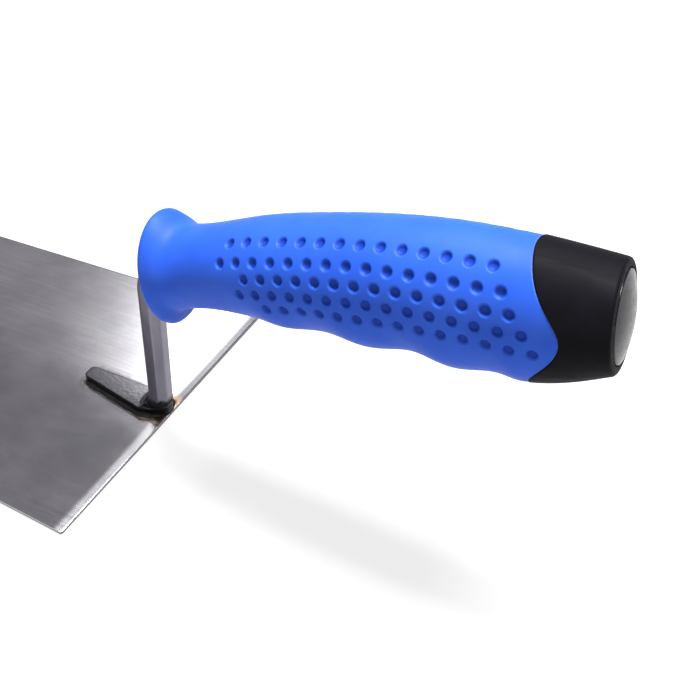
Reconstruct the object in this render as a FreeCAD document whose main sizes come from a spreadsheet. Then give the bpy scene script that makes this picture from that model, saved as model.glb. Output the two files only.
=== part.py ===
import FreeCAD, Part
import math
import os

import Sketcher

# Brick trowel: a stainless blade, a forged cranked neck welded to it, and a two-part moulded
# handle drawn onto the neck's tang. Lengths are millimetres.
# +X runs from the blade towards the handle's butt, +Z is up and the blade's underside is z = 0.
# The origin is where the axis of the upright neck meets the underside of the blade.

Vector = FreeCAD.Vector
Rotation = FreeCAD.Rotation
Placement = FreeCAD.Placement

doc = FreeCAD.newDocument("brick_trowel")

# ---------------------------------------------------------------- driving dimensions

DIMENSIONS = {
    "blade_length": 179.4,
    "blade_rear_width": 110.0,
    "blade_side_taper": 2.6,  # degrees, each long side
    "blade_thickness": 1.2,
    "blade_corner_radius": 1.2,
    "blade_rear_edge": 3.4,  # rear edge, in front of the origin
    "foot_tip_reach": 30.0,
    "foot_waist_reach": 5.4,
    "foot_heel_reach": 3.4,
    "foot_shoulder_reach": 1.6,  # where the waist starts to narrow towards the heel
    "foot_far_width": 4.4,  # from the middle line, towards +Y
    "foot_far_tip_width": 3.6,
    "foot_near_width": 5.3,
    "foot_near_shoulder_width": 4.2,
    "foot_near_tip_width": 1.0,
    "foot_heel_half_width": 1.5,
    "foot_thickness": 3.0,
    "foot_corner_radius": 1.6,
    "foot_bevel": 0.5,
    "weld_leg": 1.3,
    "neck_across_flats": 7.35,
    "neck_root": 0.6,  # the bar starts this far up inside the foot
    "neck_lean": 3.4,  # degrees from upright, towards the handle
    "neck_bend_height": 58.15,  # where the upright and the tang would cross
    "neck_bend_radius": 12.0,
    "tang_rise": 25.0,  # degrees above level at the handle's mouth
    "tang_turn_radius": 40.0,
    "stud_radius": 3.0,
    "stud_length": 9.5,
    "stud_overlap": 1.0,  # how far the stud's cylinder starts inside the tang
    "handle_x": 16.5,  # the handle's own origin, just inside the flare
    "handle_z": 64.3,
    "handle_rise": 12.5,  # degrees, line from flare to butt
    "handle_length": 124.1,  # from the handle's own origin to the butt
    "lip_radius": 1.6,  # rounding of the flare's rim
    "tang_offset": 1.7,  # tang and butt axis above the line from flare to butt
    "skin": 3.0,  # wall of the soft grip
    "core_start": 1.6,
    "core_end": 111.0,
    "cap_edge": 103.0,  # front edge of the butt cap, top and bottom
    "cap_scallop": 9.7,  # how far the grip reaches into the cap at the sides
    "cap_scallop_spread": 9.0,
    "cap_scallop_middle": 1.0,
    "nut_floor": 114.6,
    "nut_recess_radius": 8.0,
    "washer_radius": 7.0,
    "washer_thickness": 1.5,
    "nut_across_flats": 10.0,
    "nut_thickness": 4.5,
    "plug_radius": 10.9,
    "plug_seat_radius": 11.2,
    "plug_thickness": 2.2,
    "plug_dome": 1.6,
    "plug_spigot_radius": 7.8,
    "plug_spigot_depth": 1.0,
}

sheet = doc.addObject("Spreadsheet::Sheet", "sheet")
for row, (alias, value) in enumerate(DIMENSIONS.items(), start=1):
    sheet.set(f"A{row}", alias)
    sheet.set(f"B{row}", str(value))
    sheet.setAlias(f"B{row}", alias)
doc.recompute()


def size(alias):
    """A driving dimension, read back from the sheet."""
    return float(getattr(sheet, alias))


# ---------------------------------------------------------------- small helpers


def bind(obj, **properties):
    """Binds each property of obj to an expression over the sheet's aliases."""
    for name, expression in properties.items():
        obj.setExpression(name, expression)


def origin_plane(body, role):
    return next(f for f in body.Origin.OriginFeatures if f.Role == role)


def new_sketch(body, name, role, height=None):
    """A sketch on one of the body's own origin planes, lifted along its normal if asked."""
    sketch = body.newObject("Sketcher::SketchObject", name)
    sketch.AttachmentSupport = (origin_plane(body, role), "")
    sketch.MapMode = "FlatFace"
    if height:
        sketch.setExpression("AttachmentOffset.Base.z", height)
    return sketch


def polygon(sketch, corners):
    """A closed outline whose corners are pairs of (x, y) expressions over the sheet's aliases."""
    doc.recompute()
    spots = [Vector(evaluate(x), evaluate(y), 0) for x, y in corners]
    count = len(spots)
    for i in range(count):
        sketch.addGeometry(Part.LineSegment(spots[i], spots[(i + 1) % count]), False)
    for i in range(count):
        sketch.addConstraint(Sketcher.Constraint("Coincident", i, 2, (i + 1) % count, 1))
    for i, (x, y) in enumerate(corners):
        for kind, expression, value in (("DistanceX", x, spots[i].x), ("DistanceY", y, spots[i].y)):
            index = sketch.addConstraint(Sketcher.Constraint(kind, -1, 1, i, 1, value))
            sketch.setExpression(f"Constraints[{index}]", expression)


def evaluate(expression):
    """The present value of an expression over the sheet's aliases."""
    result = sheet.evalExpression(expression)
    return float(getattr(result, "Value", result))


def mirrored_outline(upper):
    """Corners with y above zero, followed by their mirror images in reverse order."""
    return upper + [(x, f"-({y})") for x, y in reversed(upper)]


def upright_edges(feature):
    """Names of a feature's straight vertical edges."""
    names = []
    for i, edge in enumerate(feature.Shape.Edges, start=1):
        if isinstance(edge.Curve, Part.Line) and abs(edge.tangentAt(edge.FirstParameter).z) > 0.999:
            names.append(f"Edge{i}")
    return names


def rim_edges(feature, height):
    """Names of a feature's edges that lie in the level plane at that height."""
    names = []
    for i, edge in enumerate(feature.Shape.Edges, start=1):
        box = edge.BoundBox
        if abs(box.ZMin - height) < 1e-4 and abs(box.ZMax - height) < 1e-4:
            names.append(f"Edge{i}")
    return names


# ---------------------------------------------------------------- blade

FRONT_EDGE = "sheet.blade_rear_edge - sheet.blade_length"
FRONT_HALF_WIDTH = "sheet.blade_rear_width / 2 - sheet.blade_length * tan(sheet.blade_side_taper * 1deg)"


def make_blade():
    body = doc.addObject("PartDesign::Body", "blade")
    sketch = new_sketch(body, "blade_outline", "XY_Plane")
    rear = ("sheet.blade_rear_edge", "sheet.blade_rear_width / 2")
    front = (FRONT_EDGE, FRONT_HALF_WIDTH)
    polygon(sketch, mirrored_outline([rear, front]))
    pad = body.newObject("PartDesign::Pad", "blade_plate")
    pad.Profile = sketch
    bind(pad, Length="sheet.blade_thickness")
    doc.recompute()
    corners = body.newObject("PartDesign::Fillet", "blade_corners")
    corners.Base = (pad, upright_edges(pad))
    bind(corners, Radius="sheet.blade_corner_radius")
    return body


# ---------------------------------------------------------------- neck: foot, upright, bend and tang

# Corners of the foot, anticlockwise from the heel: its far side runs straight back from the neck and
# its near side tapers to the tip.
FOOT_OUTLINE = [
    ("sheet.foot_heel_reach", "sheet.foot_heel_half_width"),
    ("sheet.foot_shoulder_reach", "sheet.foot_far_width"),
    ("-sheet.foot_waist_reach", "sheet.foot_far_width"),
    ("-sheet.foot_tip_reach", "sheet.foot_far_tip_width"),
    ("-sheet.foot_tip_reach", "-sheet.foot_near_tip_width"),
    ("-sheet.foot_waist_reach", "-sheet.foot_near_width"),
    ("-sheet.foot_shoulder_reach", "-sheet.foot_near_shoulder_width"),
    ("sheet.foot_heel_reach", "-sheet.foot_heel_half_width"),
]
# Which way each of those corners moves, along X and Y, to make room for the weld round the foot.
WELD_DIRECTIONS = [(0, 1), (0.4, 1), (0, 1), (-1, 1), (-1, -1), (0, -1.1), (0.4, -1), (0, -1)]


def grown(corners, by):
    """The foot's outline moved outwards, except past the heel, for the weld that runs round it."""
    return [(f"{x} + {by} * {across}", f"{y} + {by} * {up}")
            for (x, y), (across, up) in zip(corners, WELD_DIRECTIONS)]


def foot_pad(body, name, corners, thickness, radius):
    """A plate of the foot's outline standing on the blade, with rounded corners."""
    sketch = new_sketch(body, name + "_outline", "XY_Plane", "sheet.blade_thickness")
    polygon(sketch, corners)
    pad = body.newObject("PartDesign::Pad", name + "_plate")
    pad.Profile = sketch
    bind(pad, Length=thickness)
    doc.recompute()
    rounded = body.newObject("PartDesign::Fillet", name + "_corners")
    rounded.Base = (pad, upright_edges(pad))
    bind(rounded, Radius=radius)
    doc.recompute()
    return rounded


def along(angle):
    """Unit vector in the XZ plane at an angle in degrees above +X."""
    return Vector(math.cos(math.radians(angle)), 0, math.sin(math.radians(angle)))


def handle_point(reach, height=0.0):
    """A point in the handle's own frame, seen from the trowel's frame."""
    rise = size("handle_rise")
    mouth = Vector(size("handle_x"), 0, size("handle_z"))
    return mouth + along(rise) * reach + along(rise + 90) * height


def tangent_arc(corner, radius, angle_in, angle_out):
    """Start, middle and end of the arc that rounds a corner between two directions."""
    half_turn = math.radians(angle_in - angle_out) / 2
    trim = radius * math.tan(half_turn)
    start = corner - along(angle_in) * trim
    end = corner + along(angle_out) * trim
    centre = start + along(angle_in - 90) * radius
    middle = centre + (corner - centre).normalize() * radius
    return start, middle, end


STUD_SHOULDER = 4.0  # the threaded stud starts this far short of the nut's seat


def neck_route():
    """Edges of the neck's centre line: upright, crank, and the tang inside the handle."""
    upright_angle = 90 - size("neck_lean")
    slope = math.tan(math.radians(size("neck_lean")))
    root = size("blade_thickness") + size("neck_root")
    base = Vector(root * slope, 0, root)
    crank = Vector(size("neck_bend_height") * slope, 0, size("neck_bend_height"))
    rise = size("handle_rise")
    entry = size("tang_rise")
    bend_in, bend_mid, bend_out = tangent_arc(crank, size("neck_bend_radius"), upright_angle, entry)
    to_axis = size("tang_offset") / math.tan(math.radians(entry - rise))
    turn = handle_point(to_axis, size("tang_offset"))
    turn_in, turn_mid, turn_out = tangent_arc(turn, size("tang_turn_radius"), entry, rise)
    shoulder = handle_point(size("nut_floor") - STUD_SHOULDER, size("tang_offset"))
    return [
        Part.LineSegment(base, bend_in),
        Part.Arc(bend_in, bend_mid, bend_out),
        Part.LineSegment(bend_out, turn_in),
        Part.Arc(turn_in, turn_mid, turn_out),
        Part.LineSegment(turn_out, shoulder),
    ]


def octagon_corners(flats):
    """Corners of a regular octagon of the given expression across flats."""
    spots = []
    for step in range(8):
        angle = 22.5 + 45 * step
        spots.append((f"{flats} / 2 * {math.cos(math.radians(angle)) / math.cos(math.radians(22.5))}",
                      f"{flats} / 2 * {math.sin(math.radians(angle)) / math.cos(math.radians(22.5))}"))
    return spots


def make_neck():
    body = doc.addObject("PartDesign::Body", "neck")
    foot = foot_pad(body, "foot", FOOT_OUTLINE, "sheet.foot_thickness", "sheet.foot_corner_radius")
    bevel = body.newObject("PartDesign::Chamfer", "foot_bevel")
    top = size("blade_thickness") + size("foot_thickness")
    bevel.Base = (foot, rim_edges(foot, top))
    bind(bevel, Size="sheet.foot_bevel")

    route = new_sketch(body, "neck_route", "XZ_Plane")
    for edge in neck_route():
        flat = edge.copy()
        flat.rotate(Placement(Vector(), Rotation(Vector(1, 0, 0), -90)))
        route.addGeometry(flat, False)
    section = new_sketch(body, "neck_section", "XY_Plane")
    polygon(section, octagon_corners("sheet.neck_across_flats"))
    section.AttachmentOffset = Placement(Vector(), Rotation(Vector(0, 1, 0), size("neck_lean")))
    root = "(sheet.blade_thickness + sheet.neck_root)"
    bind(section, **{"AttachmentOffset.Base.z": root,
                     "AttachmentOffset.Base.x": root + " * tan(sheet.neck_lean * 1deg)"})
    bar = body.newObject("PartDesign::AdditivePipe", "neck_bar")
    bar.Profile = section
    bar.Spine = (route, [f"Edge{i}" for i in range(1, 6)])
    doc.recompute()

    stud = body.newObject("PartDesign::AdditiveCylinder", "tang_stud")
    bind(stud, Radius="sheet.stud_radius", Height="sheet.stud_length + sheet.stud_overlap")
    start = handle_point(size("nut_floor") - STUD_SHOULDER - size("stud_overlap"), size("tang_offset"))
    stud.Placement = Placement(start, Rotation(Vector(0, 1, 0), 90 - size("handle_rise")))
    return body


WELD_SLOPE = 0.85  # share of the weld's leg that is bevelled away


def make_foot_weld(neck):
    """The fillet of weld that runs round the foot, where it meets the blade."""
    bead_body = doc.addObject("PartDesign::Body", "weld_bead")
    bead = foot_pad(bead_body, "weld", grown(FOOT_OUTLINE, "sheet.weld_leg"),
                    "sheet.weld_leg", "sheet.foot_corner_radius + sheet.weld_leg")
    slope = bead_body.newObject("PartDesign::Chamfer", "weld_slope")
    slope.Base = (bead, rim_edges(bead, size("blade_thickness") + size("weld_leg")))
    bind(slope, Size=f"sheet.weld_leg * {WELD_SLOPE}")
    inside = doc.addObject("Part::Feature", "weld_inside")
    inside.Shape = neck.Shape
    return cut("foot_weld", bead_body, [inside])


# ---------------------------------------------------------------- handle

# Cross-sections of the handle from the flare's rim to the butt, in its own frame: reach along the
# handle, top and bottom heights, half width, and how far the section leans (degrees).
HANDLE_SECTIONS = [
    (-4.4, 16.9, -17.8, 13.5, -2.8),
    (-2.6, 15.8, -15.8, 13.2, -2.5),
    (-0.8, 14.4, -12.8, 12.7, -2.0),
    (1.6, 13.1, -11.5, 12.0, -1.0),
    (4.5, 12.6, -11.0, 11.5, 0.0),
    (10.5, 13.5, -10.4, 11.5, 0.0),
    (18.0, 15.0, -10.0, 12.4, 0.0),
    (28.0, 17.1, -10.3, 13.6, 0.0),
    (45.0, 19.25, -11.7, 15.0, 0.0),
    (66.0, 20.8, -13.4, 15.5, 0.0),
    (86.0, 20.7, -15.9, 15.4, 0.0),
    (104.0, 18.7, -17.1, 15.0, 0.0),
    (111.0, 17.5, -15.9, 14.5, 0.0),
    (124.1, 15.0, -11.6, 13.2, -2.2),
]
LIP_STEPS = (90, 50)  # degrees round the rim's lip, where it gets a section of its own


def lip_sections():
    """Sections that round the rim over towards the flare's front face."""
    reach, top, bottom, half_width, lean = HANDLE_SECTIONS[0]
    radius = size("lip_radius")
    rows = []
    for step in LIP_STEPS:
        inset = radius * (1 - math.cos(math.radians(step)))
        before = radius * math.sin(math.radians(step))
        rows.append((reach - before, top - inset, bottom + inset, half_width - inset, lean))
    return rows


def section_ring(name, section, inset="0"):
    """An ellipse across the handle, set in from the outer surface by an amount."""
    reach, top, bottom, half_width, lean = section
    half_height = (top - bottom) / 2
    ring = doc.addObject("Part::Ellipse", name)
    bind(ring, MajorRadius=f"{half_height} - {inset}",
         MinorRadius=f"{min(half_width, half_height)} - {inset}")
    ring.Placement = Placement(Vector(reach, 0, (top + bottom) / 2),
                               Rotation(Vector(0, 1, 0), -90 - lean))
    return ring


def make_loft(name, rings):
    loft = doc.addObject("Part::Loft", name)
    loft.Sections = rings
    loft.Solid = True
    loft.Ruled = False
    return loft


def handle_outside(name):
    sections = lip_sections() + HANDLE_SECTIONS
    return make_loft(name, [section_ring(f"{name}_ring_{i}", s) for i, s in enumerate(sections)])


def core_blank(name):
    """The core's outside: the handle set in by the grip's wall, between the core's two ends."""
    inside = [s for s in HANDLE_SECTIONS if size("core_start") <= s[0] <= size("core_end")]
    rings = [section_ring(f"{name}_ring_{i}", s, "sheet.skin") for i, s in enumerate(inside)]
    return make_loft(name, rings)


CUT_REACH = 30.0  # further than the handle's surface is from its own line
SCALLOP_HEIGHTS = (-CUT_REACH, -18, -13.5, -9, -4.5, 0, 4.5, 9, 13.5, 18, CUT_REACH)


def cap_side(name):
    """The space behind the scalloped line where the grip ends and the butt cap begins."""
    edge = size("cap_edge")
    middle = size("cap_scallop_middle")
    spread = size("cap_scallop_spread")
    line = []
    for height in SCALLOP_HEIGHTS:
        bulge = size("cap_scallop") * math.exp(-(((height - middle) / spread) ** 2))
        line.append(Vector(edge + bulge, -CUT_REACH, height))
    curve = Part.BSplineCurve()
    curve.interpolate(line)
    far = edge + 2 * CUT_REACH
    corners = [line[-1], Vector(far, -CUT_REACH, CUT_REACH), Vector(far, -CUT_REACH, -CUT_REACH), line[0]]
    edges = [curve.toShape()] + [Part.makeLine(corners[i], corners[i + 1]) for i in range(3)]
    block = doc.addObject("Part::Feature", name)
    block.Shape = Part.Face(Part.Wire(edges)).extrude(Vector(0, 2 * CUT_REACH, 0))
    return block


def rod(name, radius, start, length):
    """A round bar on the tang's axis, from a reach along the handle, bound to the sheet."""
    bar = doc.addObject("Part::Cylinder", name)
    bind(bar, Radius=radius, Height=length)
    bar.Placement = Placement(Vector(0, 0, 0), Rotation(Vector(0, 1, 0), 90))
    bind(bar, **{"Placement.Base.x": start, "Placement.Base.z": "sheet.tang_offset"})
    return bar


def cut(name, base, tools):
    result = base
    for i, tool in enumerate(tools):
        step = doc.addObject("Part::Cut", name if i == len(tools) - 1 else f"{name}_step_{i}")
        step.Base = result
        step.Tool = tool
        result = step
    return result


def common(name, first, second):
    shared = doc.addObject("Part::Common", name)
    shared.Base = first
    shared.Tool = second
    return shared


def tang_space(name):
    """The moulded socket that the tang fills, in the handle's frame."""
    tang = doc.addObject("Part::Feature", name)
    tang.Shape = doc.getObject("neck").Shape
    tang.Placement = handle_placement().inverse()
    return tang


def handle_placement():
    mouth = Vector(size("handle_x"), 0, size("handle_z"))
    return Placement(mouth, Rotation(Vector(0, 1, 0), -size("handle_rise")))


THROUGH = "30"  # longer than any wall that a hole goes through
CLEAR_STUD = "sheet.stud_radius + 0.2"


def make_handle():
    core = cut("handle_core", core_blank("core_blank"), [tang_space("core_socket")])
    grip = cut("grip", handle_outside("grip_outside"),
               [core_blank("grip_inside"), tang_space("grip_mouth"), cap_side("cap_side_of_grip")])
    cap_blank = common("cap_blank", handle_outside("cap_outside"), cap_side("cap_side_of_cap"))
    cap = cut("butt_cap", cap_blank, [
        core_blank("cap_socket"),
        rod("cap_stud_hole", CLEAR_STUD, "sheet.core_end - 1", THROUGH),
        rod("cap_nut_recess", "sheet.nut_recess_radius", "sheet.nut_floor", THROUGH),
        rod("cap_plug_seat", "sheet.plug_seat_radius", "sheet.handle_length - sheet.plug_thickness", THROUGH),
    ])
    return core, grip, cap


def make_end_plug():
    """A shallow dome on a disc, with a spigot that fits the nut's recess."""
    disc = rod("plug_disc", "sheet.plug_radius",
               "sheet.handle_length - sheet.plug_thickness", "sheet.plug_thickness")
    spigot = rod("plug_spigot", "sheet.plug_spigot_radius",
                 "sheet.handle_length - sheet.plug_thickness - sheet.plug_spigot_depth",
                 "sheet.plug_spigot_depth + 0.5")
    radius = size("plug_radius")
    dome = size("plug_dome")
    ball_radius = (radius ** 2 + dome ** 2) / (2 * dome)
    ball = doc.addObject("Part::Sphere", "plug_ball")
    ball.Radius = ball_radius
    ball.Placement = Placement(
        Vector(size("handle_length") + dome - ball_radius, 0, size("tang_offset")), Rotation())
    tall_disc = rod("plug_tall_disc", "sheet.plug_radius",
                    "sheet.handle_length - 0.1", "sheet.plug_dome + 1")
    cap_of_ball = common("plug_dome", tall_disc, ball)
    plug = doc.addObject("Part::MultiFuse", "end_plug")
    plug.Shapes = [disc, spigot, cap_of_ball]
    plug.Refine = True
    return plug


def make_tang_washer():
    plate = rod("washer_plate", "sheet.washer_radius", "sheet.nut_floor", "sheet.washer_thickness")
    hole = rod("washer_hole", CLEAR_STUD, "sheet.nut_floor - 1", THROUGH)
    return cut("tang_washer", plate, [hole])


def make_tang_nut():
    hexagon = doc.addObject("Part::Prism", "nut_blank")
    hexagon.Polygon = 6
    bind(hexagon, Circumradius="sheet.nut_across_flats / 2 / cos(30deg)", Height="sheet.nut_thickness")
    hexagon.Placement = Placement(Vector(), Rotation(Vector(0, 1, 0), 90))
    bind(hexagon, **{"Placement.Base.x": "sheet.nut_floor + sheet.washer_thickness",
                     "Placement.Base.z": "sheet.tang_offset"})
    hole = rod("nut_thread", "sheet.stud_radius", "sheet.nut_floor", THROUGH)
    return cut("tang_nut", hexagon, [hole])


# ---------------------------------------------------------------- build, check and write

blade, neck = make_blade(), make_neck()
doc.recompute()
on_the_blade = [blade, neck, make_foot_weld(neck)]
doc.recompute()
in_the_handle = [*make_handle(), make_end_plug(), make_tang_washer(), make_tang_nut()]
doc.recompute()
for piece in in_the_handle:
    piece.Placement = handle_placement()
doc.recompute()

for obj in doc.Objects:
    bad = {"Invalid", "Error"} & set(obj.State)
    if bad:
        raise RuntimeError(f"{obj.Name} failed: {obj.State}")

os.makedirs("parts", exist_ok=True)
for piece in on_the_blade + in_the_handle:
    piece.Label = piece.Name
    shape = piece.Shape
    if shape.isNull() or not shape.isValid():
        raise RuntimeError(f"{piece.Label} has no valid shape")
    print(f"{piece.Label:14} solids {len(shape.Solids)} volume {shape.Volume:10.1f}",
          "box", [round(v, 1) for v in (shape.BoundBox.XMin, shape.BoundBox.XMax, shape.BoundBox.YMax,
                                        shape.BoundBox.ZMin, shape.BoundBox.ZMax)])
    shape.exportStep(f"parts/{piece.Label}.step")
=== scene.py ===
import math

import bpy
import numpy as np
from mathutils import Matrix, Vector


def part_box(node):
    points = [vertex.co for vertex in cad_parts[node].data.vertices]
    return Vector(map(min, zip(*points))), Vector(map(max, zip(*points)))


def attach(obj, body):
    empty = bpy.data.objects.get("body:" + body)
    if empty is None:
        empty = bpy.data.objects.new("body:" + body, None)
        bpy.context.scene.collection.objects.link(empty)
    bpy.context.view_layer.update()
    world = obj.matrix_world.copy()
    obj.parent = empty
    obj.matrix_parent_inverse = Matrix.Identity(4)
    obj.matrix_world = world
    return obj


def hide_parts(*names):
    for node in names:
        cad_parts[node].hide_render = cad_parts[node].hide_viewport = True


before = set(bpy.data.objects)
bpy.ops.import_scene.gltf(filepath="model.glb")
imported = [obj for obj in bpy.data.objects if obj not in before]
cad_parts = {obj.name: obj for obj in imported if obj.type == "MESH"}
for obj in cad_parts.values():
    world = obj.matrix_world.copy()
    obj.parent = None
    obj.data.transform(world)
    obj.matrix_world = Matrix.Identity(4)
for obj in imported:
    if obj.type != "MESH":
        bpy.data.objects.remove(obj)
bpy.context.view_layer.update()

MM = 0.001  # lengths below are in millimetres where a name or comment says so
TURN = 2 * math.pi


# ------------------------------------------------------------------ places taken from the CAD frame


def middle(node):
    """The middle of a CAD node's box, in millimetres."""
    low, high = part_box(node)
    return np.array((low + high) / 2) / MM


def unit(v):
    return v / np.linalg.norm(v)


ACROSS = np.array([0.0, 1.0, 0.0])
ALONG = unit(middle("tang_nut") - middle("tang_washer"))  # from flare to butt
UP = np.cross(ALONG, ACROSS)

NUT_FLOOR = 114.6  # reach along the handle, mm
WASHER_THICKNESS = 1.5
TANG_OFFSET = 1.7  # the tang's axis above the line from flare to butt
MOUTH = middle("tang_washer") - ALONG * (NUT_FLOOR + WASHER_THICKNESS / 2) - UP * TANG_OFFSET

BLADE_LOW, BLADE_HIGH = (np.array(c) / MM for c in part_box("blade"))
BLADE_TOP = BLADE_HIGH[2]
REAR_EDGE = BLADE_HIGH[0]
FRONT_EDGE = BLADE_LOW[0]
REAR_HALF_WIDTH = 55.0
SIDE_TAPER = math.radians(2.6)
FRONT_HALF_WIDTH = REAR_HALF_WIDTH - (REAR_EDGE - FRONT_EDGE) * math.tan(SIDE_TAPER)


# ------------------------------------------------------------------ curves


def spline(knots):
    """A natural cubic through (x, y) pairs, as a function of x that also takes arrays."""
    x, y = (np.array(v, float) for v in zip(*knots))
    h = np.diff(x)
    n = len(x)
    matrix = np.eye(n)
    right = np.zeros(n)
    for i in range(1, n - 1):
        matrix[i, i - 1:i + 2] = h[i - 1], 2 * (h[i - 1] + h[i]), h[i]
        right[i] = 6 * ((y[i + 1] - y[i]) / h[i] - (y[i] - y[i - 1]) / h[i - 1])
    m = np.linalg.solve(matrix, right)

    def value(at):
        at = np.asarray(at, float)
        i = np.clip(np.searchsorted(x, at) - 1, 0, n - 2)
        a, b = (x[i + 1] - at) / h[i], (at - x[i]) / h[i]
        bend = ((a ** 3 - a) * m[i] + (b ** 3 - b) * m[i + 1]) * h[i] ** 2 / 6
        return a * y[i] + b * y[i + 1] + bend

    return value


def smoothstep(low, high, x):
    """Rises smoothly from 0 at low to 1 at high."""
    t = np.clip((x - low) / (high - low), 0, 1)
    return t * t * (3 - 2 * t)


def graded(*stops):
    """Values from the first stop to the last; each stop is (value, spacing after it)."""
    out = []
    for (start, step), (end, _) in zip(stops[:-1], stops[1:]):
        count = max(1, round(abs(end - start) / step))
        out.extend(np.linspace(start, end, count, endpoint=False))
    out.append(stops[-1][0])
    return np.array(out)


# ------------------------------------------------------------------ meshes


def build(name, points, faces, material, slot, *nodes):
    """A smooth-shaded piece on the root body; points are in millimetres."""
    mesh = bpy.data.meshes.new(name)
    mesh.from_pydata((np.asarray(points) * MM).tolist(), [], faces)
    mesh.validate()
    mesh.shade_smooth()
    mesh.materials.append(material)
    piece = bpy.data.objects.new(name, mesh)
    bpy.context.scene.collection.objects.link(piece)
    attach(piece, "root")
    if nodes:
        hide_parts(*nodes)
    return piece


def ring_faces(rings, around, loop):
    """Quads between consecutive closed rings of points, and from the last to the first if loop."""
    count = rings if loop else rings - 1
    i, j = np.meshgrid(np.arange(count), np.arange(around), indexing="ij")
    a = i * around + j
    b = i * around + (j + 1) % around
    c = ((i + 1) % rings) * around + (j + 1) % around
    d = ((i + 1) % rings) * around + j
    return np.stack([a, b, c, d], -1).reshape(-1, 4).tolist()


def cap_fan(first, around, centre, flip):
    """Triangles from a ring to a centre point."""
    faces = [(first + j, first + (j + 1) % around, centre) for j in range(around)]
    return [tuple(reversed(f)) for f in faces] if flip else faces


def closed_tube(name, rings, material, slot, *nodes):
    """A solid from rings that run from one closed end to the other, each end drawn to a point."""
    rings = np.asarray(rings)
    count, around = rings.shape[:2]
    points = np.concatenate([rings.reshape(-1, 3), rings[:1].mean(1), rings[-1:].mean(1)])
    faces = ring_faces(count, around, False)
    faces += cap_fan(0, around, count * around, True)
    faces += cap_fan((count - 1) * around, around, count * around + 1, False)
    return build(name, points, faces, material, slot, *nodes)


def put_mark(piece, name, values):
    """Keeps a number on each of the mesh's points, for its material."""
    marks = piece.data.attributes.new(name, "FLOAT", "POINT")
    marks.data.foreach_set("value", values.ravel())


def hollow_loop(name, rings, material, slot, *nodes):
    """A solid from rings that go all the way round its wall and meet again."""
    rings = np.asarray(rings)
    points = rings.reshape(-1, 3)
    return build(name, points, ring_faces(*rings.shape[:2], True), material, slot, *nodes)


# ------------------------------------------------------------------ materials


class Shader:
    """A node material around one Principled BSDF, with short ways to add common nodes."""

    def __init__(self, name, **sockets):
        self.material = bpy.data.materials.new(name)
        self.material.use_nodes = True
        self.tree = self.material.node_tree
        self.surface = self.tree.nodes["Principled BSDF"]
        for socket, value in sockets.items():
            self.surface.inputs[socket.replace("_", " ")].default_value = value
        self.place = self.tree.nodes.new("ShaderNodeTexCoord").outputs["Object"]

    def node(self, kind, links=(), **settings):
        node = self.tree.nodes.new(kind)
        for key, value in settings.items():
            setattr(node, key, value)
        for socket, value in dict(links).items():
            if isinstance(value, bpy.types.NodeSocket):
                self.tree.links.new(value, node.inputs[socket])
            else:
                node.inputs[socket].default_value = value
        return node

    def stretched(self, scale):
        """Object coordinates in metres times a scale for each axis."""
        links = {"Vector": self.place, "Scale": scale}
        return self.node("ShaderNodeMapping", links).outputs["Vector"]

    def noise(self, scale, detail=3.0, roughness=0.5):
        """Noise with a scale for each axis, as a number about 0.5."""
        links = {"Vector": self.stretched(scale), "Scale": 1.0,
                 "Detail": detail, "Roughness": roughness}
        return self.node("ShaderNodeTexNoise", links).outputs["Fac"]

    def spread(self, value, from_low, from_high, to_low=0.0, to_high=1.0):
        """Maps one range smoothly onto another, and holds its ends."""
        links = {"Value": value, "From Min": from_low, "From Max": from_high,
                 "To Min": to_low, "To Max": to_high}
        node = self.node("ShaderNodeMapRange", links, interpolation_type="SMOOTHSTEP")
        return node.outputs["Result"]

    def sum(self, first, second, operation="ADD"):
        return self.node("ShaderNodeMath", {0: first, 1: second}, operation=operation).outputs[0]

    def mix(self, factor, first, second):
        node = self.node("ShaderNodeMix", {"Factor": factor}, data_type="RGBA")
        for socket, value in ((node.inputs[6], first), (node.inputs[7], second)):
            if isinstance(value, bpy.types.NodeSocket):
                self.tree.links.new(value, socket)
            else:
                socket.default_value = value
        return node.outputs[2]

    def mark(self, name):
        """A number kept on the mesh's points."""
        return self.node("ShaderNodeAttribute", attribute_name=name).outputs["Fac"]

    def axis(self, name):
        """One object coordinate, in metres."""
        return self.node("ShaderNodeSeparateXYZ", {0: self.place}).outputs[name]

    def use(self, socket, value):
        self.tree.links.new(value, self.surface.inputs[socket])

    def bump(self, height, distance):
        links = {"Height": height, "Distance": distance, "Strength": 1.0}
        return self.node("ShaderNodeBump", links).outputs["Normal"]


def even(scale):
    return (scale, scale, scale)


def make_soft_blue():
    """Soft-touch rubber: satin blue, mottled and grained, with painted shade in the pits and a painted
    highlight as a pale line along its edge.
    """
    deep, light = (0.0120, 0.053, 0.335, 1), (0.0155, 0.063, 0.38, 1)
    painted_pit_shade, painted_edge_highlight = (0.004, 0.026, 0.215, 1), (0.08, 0.13, 0.36, 1)
    s = Shader("soft_blue_rubber", IOR=1.45, Specular_IOR_Level=0.10)
    mottle = s.noise(even(55.0), 4.0, 0.6)
    blue = s.mix(s.spread(mottle, 0.3, 0.7), deep, light)
    # Painted shade: the dimples' depth mark darkens the blue in the pits.
    blue = s.mix(s.spread(s.mark("pit"), 0.1, 0.8), blue, painted_pit_shade)
    # Painted highlight: the mark "trim" turns the skin's last ring into a pale line along the grip's
    # edge.
    s.use("Base Color", s.mix(s.spread(s.mark("trim"), 0.4, 0.95, 0.0, 0.4), blue, painted_edge_highlight))
    rub = s.noise(even(140.0), 5.0, 0.65)
    s.use("Roughness", s.spread(rub, 0.25, 0.8, 0.43, 0.58))
    grain = s.noise(even(5200.0), 2.0, 0.5)
    s.use("Normal", s.bump(grain, 0.00003))
    return s.material


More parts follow.
